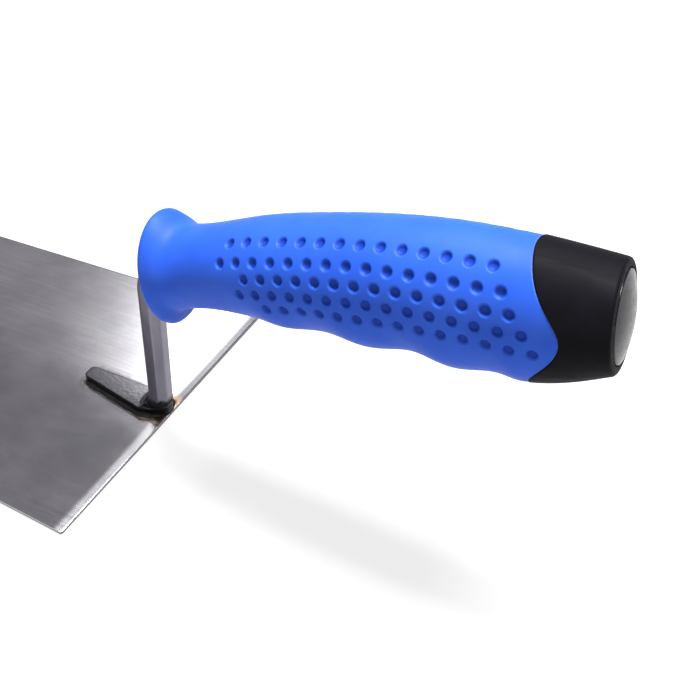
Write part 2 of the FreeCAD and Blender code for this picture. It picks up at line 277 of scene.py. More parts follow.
def make_hard_black(name, colour, gloss, shine, index=1.5):
    """Moulded plastic with a spark-eroded grain and faint handling marks."""
    s = Shader(name, IOR=index, Specular_IOR_Level=shine)
    fade = s.noise(even(90.0), 4.0, 0.6)
    lighter = tuple(c * 1.5 for c in colour) + (1,)
    s.use("Base Color", s.mix(s.spread(fade, 0.35, 0.75), colour + (1,), lighter))
    marks = s.noise((60.0, 420.0, 420.0), 6.0, 0.7)
    s.use("Roughness", s.spread(marks, 0.3, 0.75, gloss - 0.05, gloss + 0.09))
    grain = s.noise(even(3400.0), 2.0, 0.5)
    s.use("Normal", s.bump(grain, 0.00001))
    return s.material


# The shape of the heat tint round the foot, mm; its near side follows the foot's taper.
TINT_FAR, TINT_HEEL, TINT_TIP = 4.4, 1.5, 28.8
TINT_NEAR_LEAST, TINT_NEAR_START, TINT_NEAR_SLOPE = 4.4, 5.98, 0.1807
TINT_RAGGED = 0.5


def from_foot(s):
    """Ragged distance from the neck's foot, in metres, from its own shape seen from above."""
    x, y = s.axis("X"), s.axis("Y")
    taper = s.sum(s.sum(x, TINT_NEAR_SLOPE, "MULTIPLY"), TINT_NEAR_START * MM)
    near_side = s.sum(taper, TINT_NEAR_LEAST * MM, "MINIMUM")
    near = s.sum(s.sum(y, -1.0, "MULTIPLY"), near_side, "SUBTRACT")
    far = s.sum(y, TINT_FAR * MM, "SUBTRACT")
    heel = s.sum(x, TINT_HEEL * MM, "SUBTRACT")
    tip = s.sum(s.sum(x, -1.0, "MULTIPLY"), TINT_TIP * MM, "SUBTRACT")
    across = s.sum(s.sum(near, far, "MAXIMUM"), 0.0, "MAXIMUM")
    along = s.sum(s.sum(heel, tip, "MAXIMUM"), 0.0, "MAXIMUM")
    squares = s.sum(s.sum(across, across, "MULTIPLY"), s.sum(along, along, "MULTIPLY"))
    ragged = s.spread(s.noise(even(260.0), 3.0, 0.6), 0.3, 0.7, -TINT_RAGGED * MM, TINT_RAGGED * MM)
    return s.sum(s.sum(squares, 0.5, "POWER"), ragged)


EDGE_REFLECTION_START, EDGE_REFLECTION_FULL = 4.0, 1.6  # how far in from the rear edge its strip of painted reflection starts, and is full
CUT_START, CUT_END = 0.04, 0.12  # heights where the underside's rounding turns into the cut face
CUT_FADE, CUT_TOP = 0.26, 0.17  # the same below the top


def make_brushed_blade():
    """Ground stainless steel: fine lines along it, a painted reflection along the rear edge, and heat
    tint by the weld.
    """
    dull, bright, line = (0.64, 0.63, 0.67, 1), (0.79, 0.78, 0.81, 1), (0.57, 0.56, 0.59, 1)
    painted_bright_reflection_near, painted_dark_reflection_far = (0.74, 0.73, 0.75, 1), (0.20, 0.195, 0.215, 1)
    grey_tint, straw_tint = (0.27, 0.25, 0.27, 1), (0.40, 0.27, 0.17, 1)
    burnt_black, cut_grey = (0.06, 0.048, 0.045, 1), (0.14, 0.135, 0.15, 1)
    s = Shader("brushed_blade", Metallic=1.0, IOR=2.5)
    fine_lines = s.noise((60.0, 5200.0, 400.0), 3.0, 0.6)
    long_lines = s.noise((9.0, 900.0, 100.0), 4.0, 0.7)
    clouds = s.noise((45.0, 75.0, 60.0), 4.0, 0.6)
    lines = s.sum(s.sum(fine_lines, long_lines), 0.5, "MULTIPLY")
    steel = s.mix(s.spread(clouds, 0.3, 0.7), dull, bright)
    steel = s.mix(s.spread(lines, 0.38, 0.62, 0.0, 0.45), steel, line)
    # Painted reflection: a strip along the rear edge, bright on the near side and dark grey on the far
    # side.
    from_edge = s.spread(s.axis("X"), (REAR_EDGE - EDGE_REFLECTION_START) * MM, (REAR_EDGE - EDGE_REFLECTION_FULL) * MM)
    painted_edge_reflection = s.mix(s.spread(s.axis("Y"), 0.0, 8.0 * MM), painted_bright_reflection_near, painted_dark_reflection_far)
    steel = s.mix(from_edge, steel, painted_edge_reflection)
    away = from_foot(s)
    tint = s.mix(s.spread(s.axis("X"), -9.0 * MM, -1.0 * MM), grey_tint, straw_tint)
    steel = s.mix(s.spread(away, 1.2 * MM, 4.0 * MM, 0.85, 0.0), steel, tint)
    steel = s.mix(s.spread(away, 0.9 * MM, 2.0 * MM, 0.9, 0.0), steel, burnt_black)
    height = s.axis("Z")
    below_top = s.spread(height, (BLADE_TOP - CUT_FADE) * MM, (BLADE_TOP - CUT_TOP) * MM, 1.0, 0.0)
    cut_face = s.sum(s.spread(height, CUT_START * MM, CUT_END * MM), below_top, "MULTIPLY")
    s.use("Base Color", s.mix(cut_face, steel, cut_grey))
    rough = s.spread(s.sum(lines, s.sum(clouds, 0.4, "MULTIPLY")), 0.45, 0.95, 0.085, 0.14)
    burnt = s.spread(away, 1.0 * MM, 3.0 * MM, 0.14, 0.0)
    s.use("Roughness", s.sum(s.sum(rough, s.sum(from_edge, 0.10, "MULTIPLY")), burnt))
    s.use("Normal", s.bump(lines, 0.000004))
    return s.material


FOOT_BRIGHT, NECK_DARK = 4.4, 6.5  # heights where the foot's ground top ends and the neck starts


def make_forged_steel():
    """Ground bar with a brushed grain, and black scale where the mark "scale" says so."""
    dull, bright = (0.160, 0.152, 0.188, 1), (0.203, 0.194, 0.230, 1)
    ground_top, black = (0.26, 0.254, 0.278, 1), (0.010, 0.009, 0.010, 1)
    s = Shader("forged_steel", Metallic=1.0, IOR=2.5)
    clouds = s.noise((160.0, 160.0, 60.0), 5.0, 0.6)
    steel = s.mix(s.spread(clouds, 0.3, 0.75), dull, bright)
    raised = s.spread(s.axis("Z"), FOOT_BRIGHT * MM, NECK_DARK * MM)
    steel = s.mix(raised, ground_top, steel)
    ragged = s.spread(s.noise(even(420.0), 4.0, 0.6), 0.3, 0.7, -0.2, 0.2)
    scale = s.spread(s.sum(s.mark("scale"), ragged), 0.25, 0.75)
    s.use("Base Color", s.mix(scale, steel, black))
    rough = s.sum(s.spread(clouds, 0.3, 0.7, 0.07, 0.12), s.sum(raised, 0.24, "MULTIPLY"))
    s.use("Roughness", s.sum(rough, s.sum(scale, 0.3, "MULTIPLY")))
    lines = s.noise((900.0, 900.0, 60.0), 3.0, 0.6)
    s.use("Normal", s.bump(lines, 0.000012))
    return s.material


def make_weld_metal():
    s = Shader("blackened_weld", IOR=1.5, Specular_IOR_Level=0.15)
    scale = s.noise(even(500.0), 4.0, 0.6)
    black, ash = (0.004, 0.0036, 0.004, 1), (0.02, 0.018, 0.02, 1)
    s.use("Base Color", s.mix(s.spread(scale, 0.55, 0.85), black, ash))
    s.use("Roughness", s.spread(scale, 0.3, 0.7, 0.4, 0.65))
    s.use("Normal", s.bump(scale, 0.00006))
    return s.material


def make_zinc_plate():
    s = Shader("zinc_plate", Metallic=1.0, IOR=2.2)
    crystals = s.noise(even(700.0), 3.0, 0.5)
    cool, warm = (0.52, 0.53, 0.56, 1), (0.68, 0.68, 0.66, 1)
    s.use("Base Color", s.mix(crystals, cool, warm))
    s.use("Roughness", s.spread(crystals, 0.3, 0.7, 0.25, 0.4))
    return s.material


SOFT_BLUE = make_soft_blue()
CAP_BLACK = make_hard_black("satin_black_cap", (0.0024, 0.0022, 0.0034), 0.58, 0.035)
PLUG_GREY = make_hard_black("semi_gloss_plug", (0.0025, 0.0025, 0.0045), 0.25, 0.32, 1.36)
CORE_BLACK = make_hard_black("matte_core", (0.012, 0.012, 0.014), 0.5, 0.4)
BLADE_STEEL = make_brushed_blade()
FORGED_STEEL = make_forged_steel()
WELD_METAL = make_weld_metal()
ZINC_PLATE = make_zinc_plate()


# ------------------------------------------------------------------ handle surface

HANDLE_LENGTH = 124.1
RIM_REACH = -4.4  # where the flare is widest
LIP_RADIUS = 1.6
TANG_TILT = math.tan(math.radians(12.5))  # how fast the tang first climbs in the handle's frame
FLARE_LEAN = math.radians(-2.8)
BUTT_LEAN = math.radians(-3.3)
BUTT_YAW = math.radians(-3.3)  # the butt faces a little towards the far side
BUTT_START = 112.0  # where the sections start to turn and lean towards the butt's own direction
SKIN = 3.0  # wall of the soft grip

# The outline above, below and beside the line from flare to butt, as (reach, distance).
TOP = spline([(RIM_REACH, 16.9), (-2.6, 15.8), (0.5, 13.3), (4.5, 12.7), (10.5, 13.5), (18.0, 15.0),
              (28.0, 17.1), (45.0, 19.25), (66.0, 20.8), (86.0, 20.7), (104.0, 18.67),
              (115.0, 16.77), (124.1, 14.97)])
BOTTOM = spline([(RIM_REACH, 17.7), (-3.0, 16.4), (-1.0, 13.0), (1.6, 11.5), (6.0, 10.8),
                 (18.0, 10.0), (28.0, 10.3), (45.0, 11.8), (66.0, 13.4), (86.0, 15.9),
                 (104.0, 17.1), (115.0, 14.8), (124.1, 11.6)])
HALF_WIDTH = spline([(RIM_REACH, 13.5), (-2.6, 13.2), (0.5, 12.3), (4.5, 11.5), (10.5, 11.5),
                     (18.0, 12.3), (28.0, 13.6), (45.0, 15.0), (66.0, 15.5), (86.0, 15.4),
                     (104.0, 15.0), (115.0, 14.2), (124.1, 13.2)])


def lean(reach):
    """How far the sections tip back from square to the handle's line."""
    at_flare = FLARE_LEAN * (1 - smoothstep(-2.0, 6.0, reach))
    return at_flare + BUTT_LEAN * smoothstep(BUTT_START, HANDLE_LENGTH, reach)


def section_point(reach, angle, top, bottom, half_width, tip, yaw=0.0):
    """Points on an elliptical section; the angle runs from the top towards -Y. Arrays broadcast."""
    high, mid = (top + bottom) / 2, (top - bottom) / 2
    c, s = np.cos(angle), np.sin(angle)
    upward = high * c
    y = -half_width * s
    x = reach - np.sin(tip) * upward + np.sin(yaw) * y
    z = mid + np.cos(tip) * upward
    return MOUTH + x[..., None] * ALONG + z[..., None] * UP + y[..., None] * ACROSS


def outside(reach, angle, inset=0.0):
    """The handle's outer surface, or one set in from it."""
    reach, angle = np.broadcast_arrays(np.asarray(reach, float), np.asarray(angle, float))
    return section_point(reach, angle, TOP(reach) - inset, BOTTOM(reach) - inset,
                         HALF_WIDTH(reach) - inset, lean(reach),
                         BUTT_YAW * smoothstep(BUTT_START, HANDLE_LENGTH, reach))


def disc(reach, radius, angle, tip=BUTT_LEAN, offset=TANG_OFFSET, yaw=BUTT_YAW):
    """Points on a circle about the butt's axis."""
    values = (np.asarray(v, float) for v in (reach, radius, angle))
    reach, radius, angle = np.broadcast_arrays(*values)
    upward = radius * np.cos(angle)
    y = -radius * np.sin(angle)
    x = reach - math.sin(tip) * upward + math.sin(yaw) * y
    z = offset + math.cos(tip) * upward
    return MOUTH + x[..., None] * ALONG + z[..., None] * UP + y[..., None] * ACROSS


# Mean reach of the edge, then one wave round the grip, two, three...
EDGE_WAVES = [105.46, 2.19, -3.64, -0.80, 1.38, -0.00, -0.24]
EDGE_SKEW = 2.20  # further on the near side, with the turned butt


def grip_edge(angle):
    """Reach of the scalloped line where the grip meets the butt cap."""
    waves = sum(size * np.cos(turns * angle) for turns, size in enumerate(EDGE_WAVES))
    return waves + EDGE_SKEW * np.sin(angle)


def surface_normals(grid):
    """Unit normals of a grid of points, rings first, that closes on itself around."""
    along = np.gradient(grid, axis=0)
    around = np.roll(grid, -1, 1) - np.roll(grid, 1, 1)
    n = np.cross(around, along)
    return n / np.linalg.norm(n, axis=-1, keepdims=True)


# ------------------------------------------------------------------ grip

DIMPLE_RADIUS = 1.6
DIMPLE_DEPTH = 0.9
DIMPLE_BOWL = 0.45  # how deep the floor is at its edge, as a share of its middle
DIMPLE_WALL = 0.72  # share of the radius where the wall starts
# (first reach, pitch, count, angles from the top at some reaches along the row)
DIMPLE_ROWS = [
    (24.6, 5.60, 14, [(24.6, 31.3), (47.0, 29.2), (58.5, 28.9), (78.0, 30.4), (97.4, 30.8)]),
    (22.5, 5.54, 15, [(22.5, 54.9), (33.7, 52.7), (50.2, 49.4), (61.2, 49.0), (78.0, 50.1),
                      (100.1, 49.8)]),
    (30.9, 5.49, 14, [(30.9, 70.6), (41.7, 67.2), (58.1, 65.0), (80.0, 65.3), (102.3, 65.6)]),
    (28.7, 5.45, 15, [(28.7, 88.7), (39.3, 83.4), (50.1, 80.6), (66.3, 79.3), (88.3, 79.1),
                      (105.1, 80.2)]),
    (36.7, 5.42, 14, [(36.7, 101.0), (47.3, 96.5), (63.1, 94.2), (85.1, 92.8), (96.2, 92.8),
                      (107.3, 95.8)]),
]
WAVE_TURNS = spline([(35.0, 0.0), (61.5, 1.0), (84.0, 2.0), (105.0, 3.0)])  # whole at each crest
WAVE_DEPTH = 0.7
WAVES_RISE, WAVES_FALL = (24.0, 40.0), (96.0, 106.0)  # reaches over which the waves come and go
EDGE_PULL = 60.0  # reach from which the rings bend towards the scalloped edge
MOUTH_RADIUS = 4.3


def finger_waves(reach, angle):
    """How far the underside stands proud between the fingers, fading out up the sides."""
    fade = smoothstep(*WAVES_RISE, reach) * (1 - smoothstep(*WAVES_FALL, reach))
    low = smoothstep(0.15, -0.55, np.cos(angle))
    return WAVE_DEPTH * fade * low * np.cos(TURN * WAVE_TURNS(reach))


def add_dimples(grid, normals, reach):
    """Pushes round dimples into the grid of outer points, on both sides."""
    depth = np.zeros(grid.shape[:2])
    for first, pitch, count, angles in DIMPLE_ROWS:
        path = spline(angles)
        for i in range(count):
            at = first + pitch * i
            angle = math.radians(float(path(at)))
            near = np.abs(reach - at).min(axis=1) < 2 * DIMPLE_RADIUS
            for side in (angle, TURN - angle):
                centre = outside(at, side)
                away = np.linalg.norm(grid[near] - centre, axis=-1)
                share = away / DIMPLE_RADIUS
                bowl = 1 - (1 - DIMPLE_BOWL) * np.clip(share, 0, 1) ** 2
                pit = DIMPLE_DEPTH * bowl * (1 - smoothstep(DIMPLE_WALL, 1.0, share))
                depth[near] = np.maximum(depth[near], pit)
    return grid - depth[..., None] * normals, depth / DIMPLE_DEPTH


def grip_angles():
    """Angles round the grip: close together where the dimples are."""
    side = graded((0.0, 1.2), (20.0, 1.05), (108.0, 1.8), (180.0, 1.8))
    both = np.concatenate([side, 360.0 - side[-2:0:-1]])
    return np.radians(both)


def drawn_to_edge(lines, angle):
    """Reaches at each line and angle, bent so that the last line follows the grip's edge."""
    lines = lines[:, None]
    last = lines[-1, 0]
    return lines + smoothstep(EDGE_PULL, last, lines) * (grip_edge(angle) - last)


def make_grip():
    """The overmould: its skin and pits, the flare's lip and face, the mouth and the inner wall."""
    angle = grip_angles()[None, :]
    reach = drawn_to_edge(graded((RIM_REACH, 0.45), (20.0, 0.28), (104.0, 0.4), (107.0, 0.4)), angle)
    skin = outside(reach, angle)
    normals = surface_normals(skin)
    skin = skin + finger_waves(reach, angle)[..., None] * normals
    skin, pits = add_dimples(skin, normals, reach)

    ring = angle[0]

    def rim(depth, inset):
        at = np.full(len(ring), RIM_REACH)
        return section_point(at - depth, ring, TOP(at) - inset, BOTTOM(at) - inset,
                             HALF_WIDTH(at) - inset, lean(at))

    lip = [rim(LIP_RADIUS * math.sin(t), LIP_RADIUS * (1 - math.cos(t)))
           for t in np.linspace(math.pi / 2, 0, 8)[:-1]]
    face = [rim(LIP_RADIUS - dish, inset) for inset, dish in [(7.6, 0.35), (5.0, 0.3), (2.8, 0.1)]]

    def mouth_ring(reach, radius):
        return disc(reach, radius, ring, 0.0, reach * TANG_TILT, 0.0)

    face_reach = RIM_REACH - LIP_RADIUS
    mouth = [mouth_ring(face_reach + depth, radius) for depth, radius in
             [(7.0, MOUTH_RADIUS), (4.5, MOUTH_RADIUS), (2.0, MOUTH_RADIUS),
              (0.75, MOUTH_RADIUS + 0.1), (0.45, MOUTH_RADIUS + 0.4)]]
    inner = outside(drawn_to_edge(graded((3.0, 1.5), (103.0, 1.0)), angle), angle, SKIN)
    rings = np.concatenate([inner[::-1], np.array(mouth + face + lip), skin])
    piece = hollow_loop("grip_overmould", rings, SOFT_BLUE, "soft_grip", "grip")
    # The mark "pit" carries the dimples' depth, for the painted shade in the pits.
    shade = np.concatenate([np.zeros((len(rings) - len(pits), pits.shape[1])), pits])
    # The mark "trim" picks the skin's last ring, for the painted highlight along the grip's edge.
    trim = np.zeros_like(shade)
    trim[-1] = 1.0
    put_mark(piece, "pit", shade)
    put_mark(piece, "trim", trim)


# ------------------------------------------------------------------ butt cap and plug

CAP_SIDES = 240
CAP_GAP = 0.12  # between the grip's edge and the cap
CAP_EDGE = 0.4
CAP_PROUD = 0.26
RIM_ROUND = 0.9
RIDGE_DROP = 0.5  # the cap's ridge stands this far behind the plug's edge
LIP_DROP = 0.3
SEAT_RADIUS = 11.2
SEAT_DEPTH = 2.2
RECESS_RADIUS = 8.0
STUD_HOLE = 3.2
CORE_END = 111.0


def make_butt_cap():
    """The cap: its rounded front edge, body and rim, then the plug's seat, the recess and the bore."""
    angle = (np.arange(CAP_SIDES) * TURN / CAP_SIDES)[None, :]
    edge = grip_edge(angle) + CAP_GAP
    rings = [outside(edge, angle, SKIN)]
    for t in np.linspace(0, math.pi / 2, 6):
        rings.append(outside(edge + CAP_EDGE * (1 - math.cos(t)), angle,
                             CAP_EDGE - (CAP_EDGE + CAP_PROUD) * math.sin(t)))
    body_start = edge + CAP_EDGE
    body_end = HANDLE_LENGTH - RIDGE_DROP - RIM_ROUND
    for share in np.linspace(0, 1, 40)[1:]:
        reach = body_start + share * (body_end - body_start)
        rings.append(outside(reach, angle, -CAP_PROUD * (1 - share)))
    for t in np.linspace(0, math.pi / 2, 8)[1:]:
        rings.append(outside(np.full_like(angle, body_end + RIM_ROUND * math.sin(t)), angle,
                             RIM_ROUND * (1 - math.cos(t))))
    rings = [r[0] for r in rings]
    ring = angle[0]
    lip = HANDLE_LENGTH - LIP_DROP
    seat = HANDLE_LENGTH - SEAT_DEPTH
    for reach, radius in [(lip, SEAT_RADIUS + 0.3), (lip - 0.08, SEAT_RADIUS + 0.1),
                          (lip - 0.3, SEAT_RADIUS), (seat, SEAT_RADIUS), (seat, RECESS_RADIUS)]:
        rings.append(disc(reach, radius, ring))
    for reach, radius in [(NUT_FLOOR, RECESS_RADIUS), (NUT_FLOOR, STUD_HOLE), (CORE_END, STUD_HOLE)]:
        rings.append(disc(reach, radius, ring, 0.0, TANG_OFFSET, 0.0))
    rings.append(outside(np.full(CAP_SIDES, CORE_END), ring, SKIN))
    hollow_loop("butt_cap_shell", rings, CAP_BLACK, "cap_plastic", "butt_cap")


PLUG_SIDES = 160
PLUG_RADIUS = 10.95
PLUG_DOME = 1.6
PLUG_EDGE = 0.45
PLUG_SUNK = 0.1
SPIGOT_RADIUS = 7.8
SPIGOT_LENGTH = 0.9


def make_end_plug():
    """The plug: its spigot and flange, its rounded edge and its crown."""
    angle = np.arange(PLUG_SIDES) * TURN / PLUG_SIDES
    face = HANDLE_LENGTH - PLUG_SUNK
    spigot_end, flange = face - SEAT_DEPTH - SPIGOT_LENGTH, face - SEAT_DEPTH + 0.15
    profile = [(spigot_end, 0.5), (spigot_end, SPIGOT_RADIUS),
               (flange, SPIGOT_RADIUS), (flange, PLUG_RADIUS)]
    profile += [(face - PLUG_EDGE + PLUG_EDGE * math.sin(t),
                 PLUG_RADIUS - PLUG_EDGE * (1 - math.cos(t)))
                for t in np.linspace(0, math.radians(75), 6)]
    crown = PLUG_RADIUS - PLUG_EDGE
    ball = (crown ** 2 + PLUG_DOME ** 2) / (2 * PLUG_DOME)
    for share in np.linspace(0.97, 0.03, 26):
        radius = crown * share
        profile.append((face + math.sqrt(ball ** 2 - radius ** 2) - (ball - PLUG_DOME), radius))
    rings = [disc(reach, radius, angle) for reach, radius in profile]
    closed_tube("domed_end_plug", rings, PLUG_GREY, "plug_plastic", "end_plug")


# ------------------------------------------------------------------ blade

BLADE_CORNER = 0.8
BLADE_ROUND = 0.16
BLADE_SPACING = 1.5
FLAT_INSET = 0.5  # where the flat faces' rings start, in from the outline
SHEET_SHARES = [0.1, 0.4, 0.7, 0.9, 1.0]
WIDTH_ALLOWANCE = 0.9994  # keeps the sharper corners inside the CAD piece


def rounded_outline(corners, radius, spacing):
    """Points along a closed polygon whose corners are rounded, in order, about spacing apart."""
    corners = [np.array(c, float) for c in corners]
    count = len(corners)
    out = []
    for i, corner in enumerate(corners):
        before, after = unit(corners[i - 1] - corner), unit(corners[(i + 1) % count] - corner)
        half = math.acos(np.clip(before @ after, -1, 1)) / 2
        trim = radius / math.tan(half)
        centre = corner + unit(before + after) * radius / math.sin(half)
        start, end = corner + before * trim - centre, corner + after * trim - centre
        sweep = math.pi - 2 * half
        sign = np.sign(start[0] * end[1] - start[1] * end[0])
        steps = max(3, round(radius * sweep / spacing))
        for k in range(steps + 1):
            a = sign * sweep * k / steps
            turn = np.array([[math.cos(a), -math.sin(a)], [math.sin(a), math.cos(a)]])
            out.append(centre + turn @ start)
        nxt = corners[(i + 1) % count]
        before2, after2 = unit(corner - nxt), unit(corners[(i + 2) % count] - nxt)
        half2 = math.acos(np.clip(before2 @ after2, -1, 1)) / 2
        target = nxt + before2 * radius / math.tan(half2)
        run = np.linalg.norm(target - out[-1])
        inner = max(1, round(run / spacing))
        begin = out[-1]
        out.extend(begin + (target - begin) * k / inner for k in range(1, inner))
    return np.array(out)


def level(outline, inset, height):
    """The outline moved in by an amount along its normals, at a height."""
    tangent = np.roll(outline, -1, 0) - np.roll(outline, 1, 0)
    tangent /= np.linalg.norm(tangent, axis=1, keepdims=True)
    normal = np.stack([tangent[:, 1], -tangent[:, 0]], 1)
    flat = outline - normal * np.broadcast_to(inset, len(outline))[:, None]
    return np.column_stack([flat, np.full(len(flat), height)])


def make_blade():
    """The plate: its underside, its rounded cut edges and its top."""
    corners = [(REAR_EDGE, REAR_HALF_WIDTH), (FRONT_EDGE, FRONT_HALF_WIDTH),
               (FRONT_EDGE, -FRONT_HALF_WIDTH), (REAR_EDGE, -REAR_HALF_WIDTH)]
    outline = rounded_outline(corners, BLADE_CORNER, BLADE_SPACING) * (1, WIDTH_ALLOWANCE)
    centre = np.array([(REAR_EDGE + FRONT_EDGE) / 2, 0.0])
    inner = level(outline, FLAT_INSET, 0.0)[:, :2]

    def sheet(share, height):
        return np.column_stack([centre + (inner - centre) * share, np.full(len(inner), height)])

    rings = [sheet(share, 0.0) for share in SHEET_SHARES]
    for t in np.linspace(0, math.pi / 2, 4):
        inset, rise = (BLADE_ROUND * (1 - value) for value in (math.sin(t), math.cos(t)))
        rings.append(level(outline, inset, rise))
    for t in np.linspace(0, math.pi / 2, 4):
        inset, drop = (BLADE_ROUND * (1 - value) for value in (math.cos(t), math.sin(t)))
        rings.append(level(outline, inset, BLADE_TOP - drop))
    rings += [sheet(share, BLADE_TOP) for share in reversed(SHEET_SHARES)]
    closed_tube("blade_plate", rings, BLADE_STEEL, "stainless_blade", "blade")


# ------------------------------------------------------------------ neck and weld

# Corners of the foot, clockwise seen from below; its far side runs straight, its near side tapers.
FOOT_CORNERS = [(3.4, 1.5), (1.6, 4.4), (-5.4, 4.4), (-30.3, 4.1),
                (-30.3, -0.8), (-5.4, -5.3), (-1.6, -4.2), (3.4, -1.5)]
FOOT_CORNER = 1.6
FOOT_TOP = BLADE_TOP + 3.0
EDGE_WIDTH, EDGE_DROP = 0.3, 0.14
NECK_FLATS = 7.35
NECK_SOFTNESS = 26.0  # the higher, the sharper the eight corners
NECK_LEAN = math.radians(3.4)
NECK_BEND_HEIGHT = 58.15
NECK_BEND_RADIUS = 12.0
TANG_RISE = math.radians(25.0)
TANG_DEPTH = 9.0  # how far the modelled tang goes into the flare
ROOT_FILLET = 1.9
FRONT_FILLET = 1.5  # how much further it reaches on the side towards the foot's tip
NECK_START = 6.5  # along the neck from the foot's top to its first plain section
FILLET_RISE, FRONT_RISE = 2.0, 3.4  # the fillet's height, and what is added towards the foot's tip
FOOT_TOP_RINGS, FILLET_RINGS = 29, 13
BLACK_NECK = 2.6  # how far up the neck its black scale goes
NECK_SIDES = 320
STATION_SPACING = 1.2


def octagon_radius(angle):
    """Polar radius of the neck's eight-sided section, with softened corners."""
    total = 0.0
    for k in range(4):
        total = total + np.abs(np.cos(angle - k * math.pi / 4)) ** NECK_SOFTNESS
    return NECK_FLATS / 2 / total ** (1 / NECK_SOFTNESS)


def neck_axis(height):
    """How far the leaning neck's axis is from the blade's origin at a height."""
    return height * math.tan(NECK_LEAN)


def foot_rings(outline, centre, angle, section):
    """Rings up the foot's side, over its edge, across its top and up the fillet.

    With them comes how much black scale each point has, from 0 to 1.
    """
    rings = [level(outline, 1.0, BLADE_TOP), level(outline, 0.0, BLADE_TOP)]
    side_top = FOOT_TOP - EDGE_DROP - 0.5
    rings += [level(outline, 0.0, height) for height in np.linspace(BLADE_TOP, side_top, 5)[1:]]
    scale = [1.0] * len(rings) + [1.0, 0.7, 0.3, 0.0]
    for t in np.linspace(0, math.pi / 2, 4):
        rings.append(level(outline, EDGE_WIDTH * (1 - math.cos(t)),
                           FOOT_TOP - EDGE_DROP * (1 - math.sin(t))))
    outer = np.linalg.norm(rings[-1][:, :2] - centre, axis=1)
    front = smoothstep(0.3, 1.0, -np.cos(angle))
    root = section + ROOT_FILLET + FRONT_FILLET * front
    root = np.where(outer > section, np.minimum(root, outer - 0.02), outer)

    def around_axis(radius, height):
        spot = np.column_stack([np.cos(angle), np.sin(angle)]) * radius[:, None]
        spot[:, 0] += (height - FOOT_TOP) * math.tan(NECK_LEAN)
        return np.column_stack([spot + centre, np.broadcast_to(height, len(spot))])

    for share in np.linspace(0, 1, FOOT_TOP_RINGS + 1)[1:]:
        rings.append(around_axis(outer + (root - outer) * share, FOOT_TOP))
    rise = FILLET_RISE + FRONT_RISE * front
    for t in np.linspace(0, math.pi / 2, FILLET_RINGS + 1)[1:]:
        rings.append(around_axis(root - (root - section) * math.sin(t),
                                 FOOT_TOP + rise * (1 - math.cos(t))))
    scale = np.array(scale + [0.0] * (len(rings) - len(scale)))[:, None] * np.ones(len(angle))
    behind = smoothstep(0.95, 0.6, -np.cos(angle))
    for i in range(len(scale) - FOOT_TOP_RINGS - FILLET_RINGS, len(scale)):
        up = rings[i][:, 2] - FOOT_TOP
        on_neck = behind * smoothstep(BLACK_NECK + 0.5, BLACK_NECK - 0.3, up)
        on_fillet = 0.6 * smoothstep(-0.2, 0.6, up) * smoothstep(5.0, 3.0, up)
        scale[i] = np.maximum(scale[i], np.maximum(on_neck, on_fillet))
    return rings, scale


def make_neck():
    """The forging: the foot, the leaning neck, its bend and the start of the tang."""
    dense = rounded_outline(FOOT_CORNERS, FOOT_CORNER, 0.25)
    centre = np.array([neck_axis(FOOT_TOP), 0.0])
    polar = np.unwrap(np.arctan2(*(dense - centre).T[::-1]))
    if polar[-1] < polar[0]:
        dense, polar = dense[::-1], polar[::-1]
    seam = np.concatenate([[0], np.cumsum(np.linalg.norm(np.diff(dense, axis=0), axis=1))])
    density = 0.5 * (polar - polar[0]) / (polar[-1] - polar[0]) + 0.5 * seam / seam[-1]
    at = np.interp(np.arange(NECK_SIDES) / NECK_SIDES, density, np.arange(len(dense)))
    outline = np.column_stack([np.interp(at, np.arange(len(dense)), dense[:, k]) for k in (0, 1)])
    angle = np.unwrap(np.arctan2(*(outline - centre).T[::-1]))
    section = octagon_radius(angle)
    rings, scale = foot_rings(outline, centre, angle, section)

    base = np.array([neck_axis(FOOT_TOP), 0.0, FOOT_TOP])
    heading = math.pi / 2 - NECK_LEAN
    direction = np.array([math.cos(heading), 0, math.sin(heading)])
    climb = (NECK_BEND_HEIGHT - FOOT_TOP) / math.sin(heading)
    turn = heading - TANG_RISE
    trim = NECK_BEND_RADIUS * math.tan(turn / 2)
    stations = [(base + direction * d, heading) for d in
                graded((NECK_START, STATION_SPACING), (climb - trim, STATION_SPACING))]
    start = stations[-1][0]
    pivot = start + NECK_BEND_RADIUS * np.array([math.sin(heading), 0, -math.cos(heading)])
    for t in np.linspace(0, turn, 20)[1:]:
        a = heading - t
        stations.append((pivot + NECK_BEND_RADIUS * np.array([-math.sin(a), 0, math.cos(a)]), a))
    last, a = stations[-1]
    out = np.array([math.cos(a), 0, math.sin(a)])
    reach = np.linalg.norm(MOUTH - last) + TANG_DEPTH
    stations += [(last + out * d, a) for d in np.linspace(0, reach, 12)[1:]]
    for spot, a in stations:
        side = np.array([math.sin(a), 0, -math.cos(a)])
        rings.append(spot + np.outer(section * np.cos(angle), side)
                     + np.outer(section * np.sin(angle), ACROSS))
    piece = closed_tube("forged_neck", rings, FORGED_STEEL, "forged_steel", "neck")
    shade = np.zeros(len(piece.data.vertices))
    shade[:scale.size] = scale.ravel()
    put_mark(piece, "scale", shade)


WELD_LEG = 1.15
WELD_HEIGHT = 1.25
HEEL_START, HEEL_END = 0.5, 3.2  # where the weld thins out towards the heel
TIP_START, TIP_END = -28.5, -30.0  # and towards the tip
WELD_BULGE = 0.16
WELD_COVER = 0.3  # how far the bead reaches under the foot's edge


